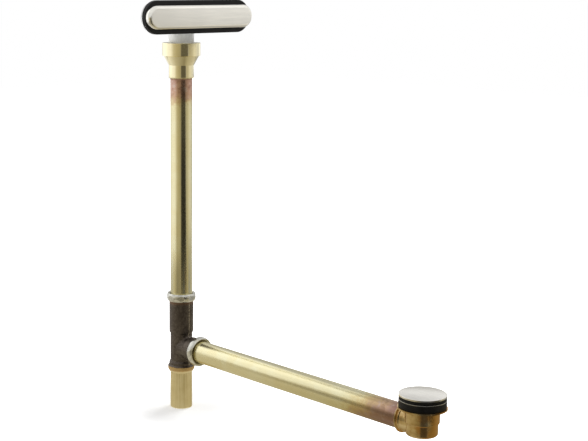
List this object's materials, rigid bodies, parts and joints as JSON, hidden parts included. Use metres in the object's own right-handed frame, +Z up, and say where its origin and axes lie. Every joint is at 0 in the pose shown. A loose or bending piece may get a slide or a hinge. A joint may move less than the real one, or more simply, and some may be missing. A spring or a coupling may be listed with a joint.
{
  "type": "bath waste and overflow",
  "caption": "L-shaped brass bath waste and overflow: tee with slip joints, riser to a slot-shaped overflow cover, drain tube to a shoe with a toe-tap stopper.",
  "frame": {"origin": "centre of the tailpiece's lower end", "axes": "+Z up along the tailpiece and the riser; +X along the drain tube to the waste, which is also the way that the overflow cover faces"},
  "size_m": [0.6075, 0.229, 0.709],
  "materials": {
    "dark_cast_brass": "rough dark casting skin",
    "polished_brass": "polished drawn tube with heat tint near its brazed end",
    "satin_brass": "satin drawn tube",
    "raw_cast_brass": "raw bright casting",
    "inner_brass": "plain turned",
    "plated_nut": "dull nickel plate over cast metal",
    "brushed_nickel": "brushed nickel plate",
    "steel": "plain stainless",
    "black_rubber": "matt moulded",
    "white_plastic": "moulded"
  },
  "bodies": {
    "tee_group": {"tee": "dark_cast_brass", "tailpiece": "satin_brass", "overflow_slip_nut": "plated_nut", "overflow_slip_washer": "black_rubber", "overflow_friction_ring": "inner_brass", "drain_slip_nut": "plated_nut", "drain_slip_washer": "black_rubber", "drain_friction_ring": "inner_brass"},
    "riser": {"overflow_tube": "polished_brass", "overflow_collar": "polished_brass", "spigot_seal": "black_rubber", "overflow_body": "white_plastic", "overflow_gasket": "black_rubber", "overflow_bracket": "steel", "bracket_screws": "steel", "overflow_cover": "brushed_nickel", "cover_set_screws": "steel"},
    "drain_run": {"drain_tube": "polished_brass", "drain_shoe": "raw_cast_brass", "drain_gasket": "black_rubber", "drain_flange": "brushed_nickel", "toe_tap_barrel": "inner_brass", "toe_tap_latch_pin": "steel", "toe_tap_spring": "steel"},
    "stopper": {"toe_tap_plunger": "inner_brass", "stopper_cap": "brushed_nickel", "stopper_seal": "black_rubber"}
  },
  "joints": [
    {"name": "overflow_height", "type": "slide", "parent": "tee_group", "child": "riser", "axis": [0, 0, 1], "range_m": [-0.02, 0.02]},
    {"name": "drain_reach", "type": "slide", "parent": "tee_group", "child": "drain_run", "axis": [1, 0, 0], "range_m": [-0.004, 0.007]},
    {"name": "stopper_lift", "type": "slide", "parent": "drain_run", "child": "stopper", "axis": [0, 0, 1], "range_m": [0, 0.01], "deforming": ["toe_tap_spring"]}
  ]
}
